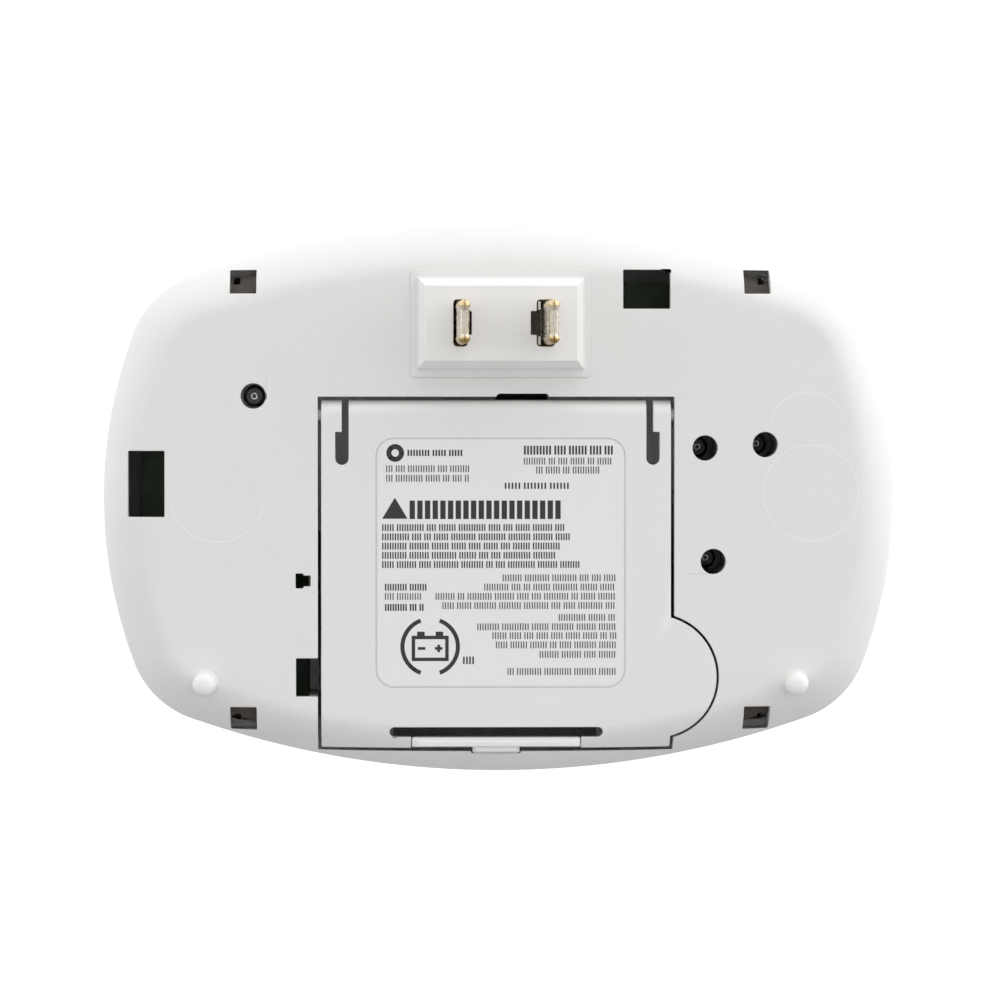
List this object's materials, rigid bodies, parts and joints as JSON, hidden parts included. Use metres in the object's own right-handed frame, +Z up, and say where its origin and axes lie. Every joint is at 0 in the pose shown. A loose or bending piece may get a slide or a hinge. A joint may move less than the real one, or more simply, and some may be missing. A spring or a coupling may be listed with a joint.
{
  "type": "plug-in carbon monoxide alarm",
  "caption": "White plug-in carbon monoxide alarm: pillow-shaped case with a plug on its back, a hinged battery door, a horn grille, a test button and indicator lights.",
  "frame": {"origin": "middle of the plug block's face, between the two blades, on the plane that meets the outlet", "axes": "+Z up on the wall, +Y along the blades into the outlet, -Y towards the room, +X to the right for someone facing the front"},
  "size_m": [0.117, 0.0579, 0.081],
  "materials": {
    "white_case": "fine spark-eroded texture",
    "white_door": "satin",
    "label_film": "satin printed film",
    "insulator": "plain",
    "brass": "bright",
    "dark_steel": "blackened",
    "tinned_metal": "satin",
    "green_board": "solder mask",
    "black_plastic": "plain",
    "yellow_film": "plain",
    "dark_sleeve": "shrunk sleeve",
    "blue_epoxy": "dipped",
    "foam": "closed-cell foam",
    "battery_jacket": "plain jacket",
    "red_plastic": "clear tinted",
    "green_plastic": "clear tinted",
    "black_sleeve": "wire insulation",
    "white_sleeve": "wire insulation"
  },
  "bodies": {
    "alarm": {"rear_cover": "white_case", "front_cover": "white_case", "blade_retainer": "insulator", "mains_fuse": "insulator", "plug_blade_left": "brass", "plug_blade_right": "brass", "piezo_disc": "brass", "circuit_board": "green_board", "battery_9v": "battery_jacket", "microcontroller": "black_plastic", "horn_chamber": "black_plastic", "horn_coil": "black_plastic", "switch_body": "black_plastic", "film_capacitor": "yellow_film", "smoothing_capacitor": "dark_sleeve", "varistor": "blue_epoxy", "co_sensor": "tinned_metal", "sensor_gasket": "foam", "horn_gasket": "foam", "battery_contact_positive": "tinned_metal", "battery_contact_negative": "tinned_metal", "retainer_screw_left": "tinned_metal", "retainer_screw_right": "tinned_metal", "mains_lead_left": "black_sleeve", "mains_lead_right": "white_sleeve", "alarm_led": "red_plastic", "alarm_light_pipe": "red_plastic", "power_led": "green_plastic", "power_light_pipe": "green_plastic", "case_screw_1": "dark_steel", "case_screw_2": "dark_steel", "case_screw_3": "dark_steel", "case_screw_4": "dark_steel", "horn_contact_1": "tinned_metal", "horn_contact_2": "tinned_metal", "horn_contact_3": "tinned_metal"},
    "battery_door": {"battery_door": "white_door", "door_label": "label_film"},
    "door_latch": {"door_latch": "white_door"},
    "test_button": {"test_button": "white_door"},
    "switch_plunger": {"switch_plunger": "red_plastic"}
  },
  "joints": [
    {"name": "door_hinge", "type": "hinge", "parent": "alarm", "child": "battery_door", "pos_m": [0, -0.00615, -0.01335], "axis": [1, 0, 0], "range_deg": [0, 95]},
    {"name": "latch_slide", "type": "slide", "parent": "battery_door", "child": "door_latch", "axis": [0, 0, 1], "range_m": [0, 0.001], "stiffness_N_per_m": 20, "springref_m": -0.0005},
    {"name": "button_press", "type": "slide", "parent": "alarm", "child": "test_button", "axis": [0, 1, 0], "range_m": [0, 0.0005], "stiffness_N_per_m": 60, "springref_m": -0.0005},
    {"name": "plunger_press", "type": "slide", "parent": "alarm", "child": "switch_plunger", "axis": [0, 1, 0], "range_m": [0, 0.0005]}
  ],
  "couplings": [
    {"joint": "plunger_press", "follows": "button_press", "ratio": 1}
  ]
}
